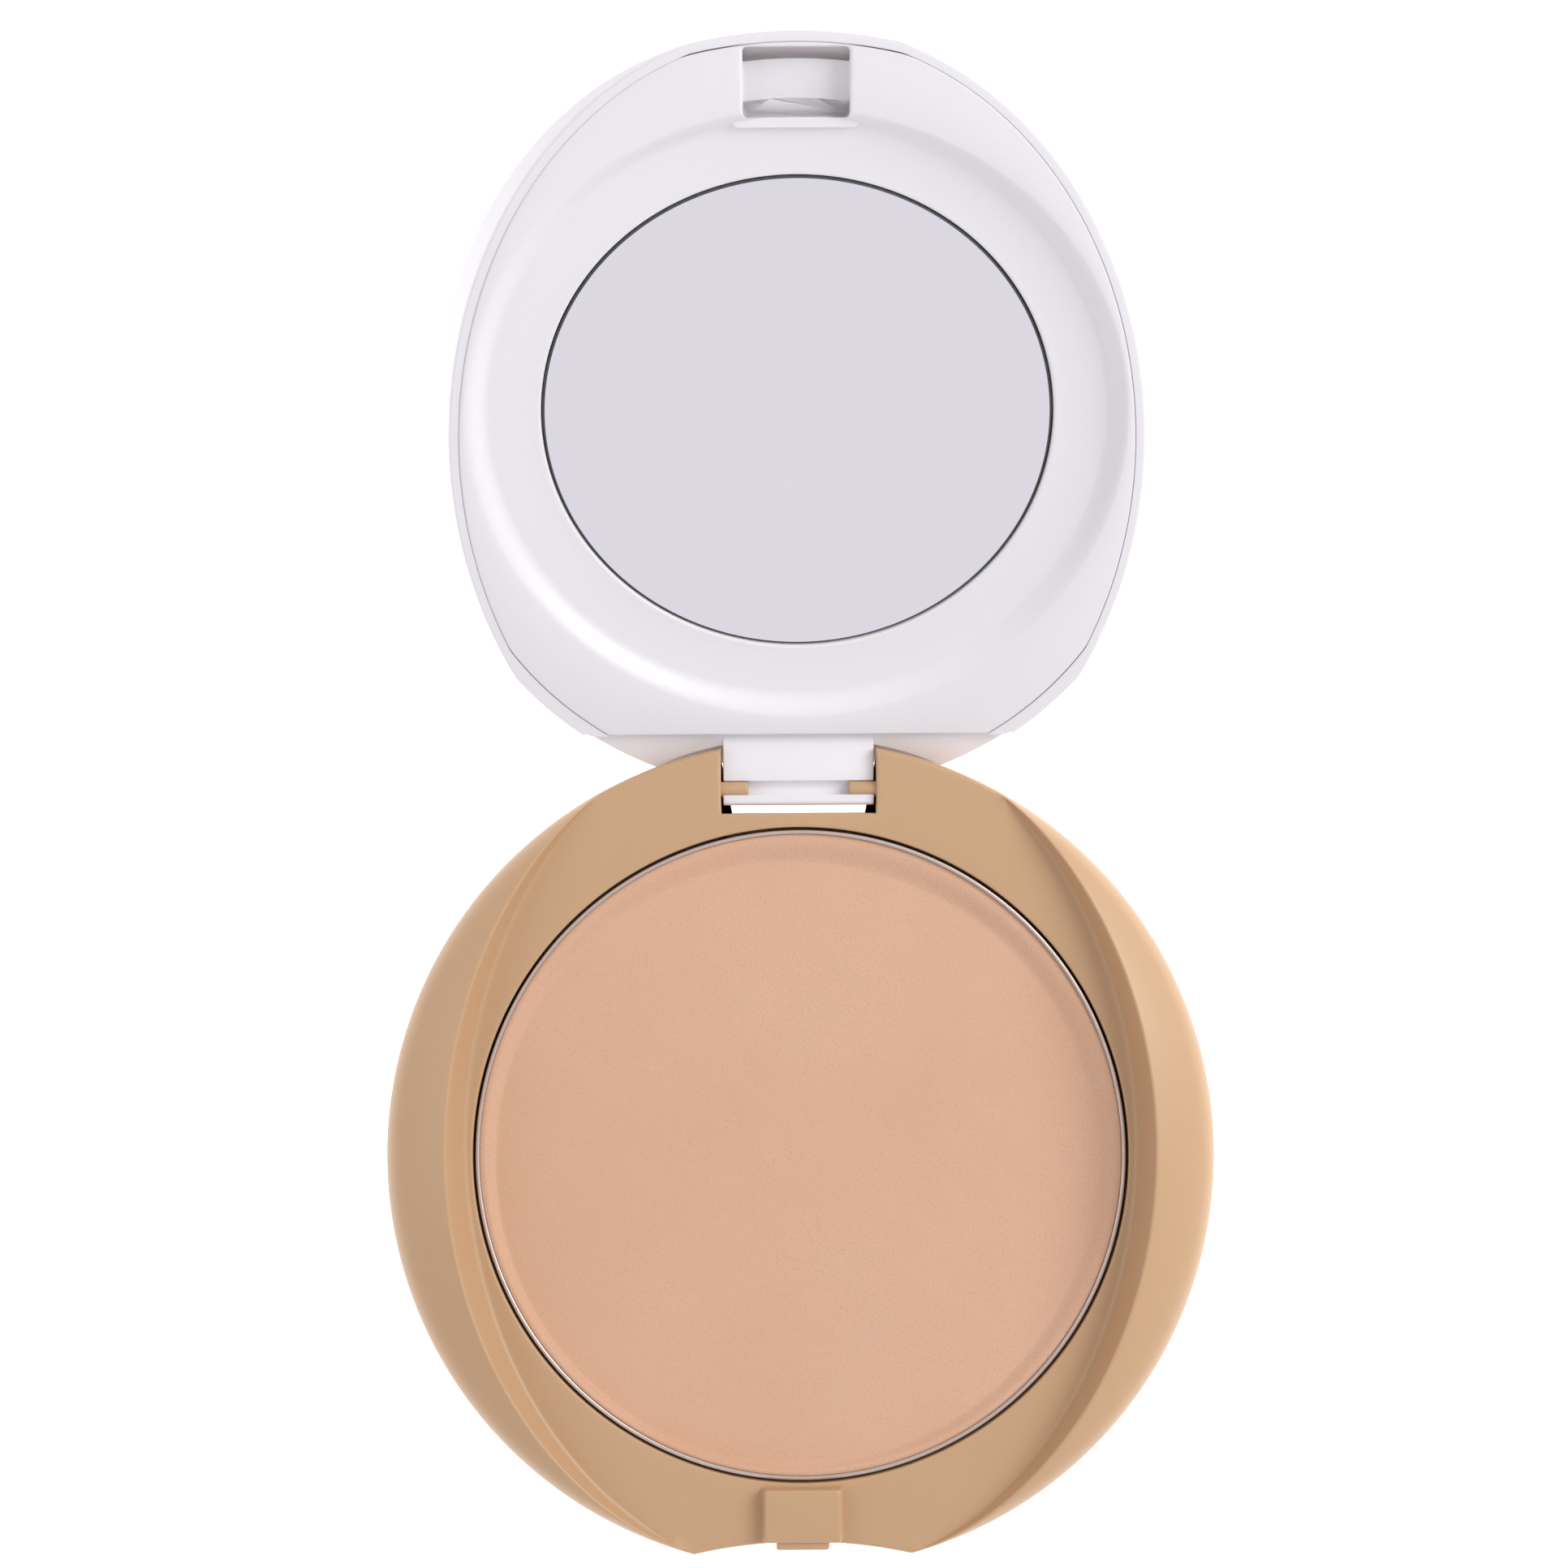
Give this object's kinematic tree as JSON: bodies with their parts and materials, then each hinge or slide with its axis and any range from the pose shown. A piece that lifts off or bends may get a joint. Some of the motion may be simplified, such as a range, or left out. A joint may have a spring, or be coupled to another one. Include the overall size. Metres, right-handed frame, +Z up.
{
  "type": "powder compact",
  "caption": "Round pebble-shaped face powder compact with a mirrored lid that opens on a snap hinge and closes between two raised side wings.",
  "frame": {"origin": "centre of the flat underside that the compact rests on", "axes": "+Z up out of the deck, +Y from the centre towards the hinge, -Y towards the catch, +X to the right seen from the catch"},
  "size_m": [0.0752, 0.1315, 0.0409],
  "materials": {
    "base_plastic": "satin beige moulded plastic",
    "lid_plastic": "satin white moulded plastic",
    "powder": "pressed face powder, chalky and matte",
    "pan": "thin pressed sheet, bright rim",
    "mirror": "silvered glass with a fine ground edge",
    "label": "blank coated paper disc",
    "glue": "set hot-melt dots",
    "tape": "double-sided foam tape"
  },
  "bodies": {
    "base": {"base_top": "base_plastic", "base_bottom": "base_plastic", "base_label": "label", "powder_pan": "pan", "pressed_powder": "powder", "pan_glue": "glue"},
    "lid": {"lid_shell": "lid_plastic", "lid_liner": "lid_plastic", "mirror_glass": "mirror", "mirror_tape": "tape"}
  },
  "joints": [
    {"name": "lid_hinge", "type": "hinge", "parent": "base", "child": "lid", "pos_m": [0, 0.0332, 0.0068], "axis": [1, 0, 0], "range_deg": [0, 150]}
  ]
}
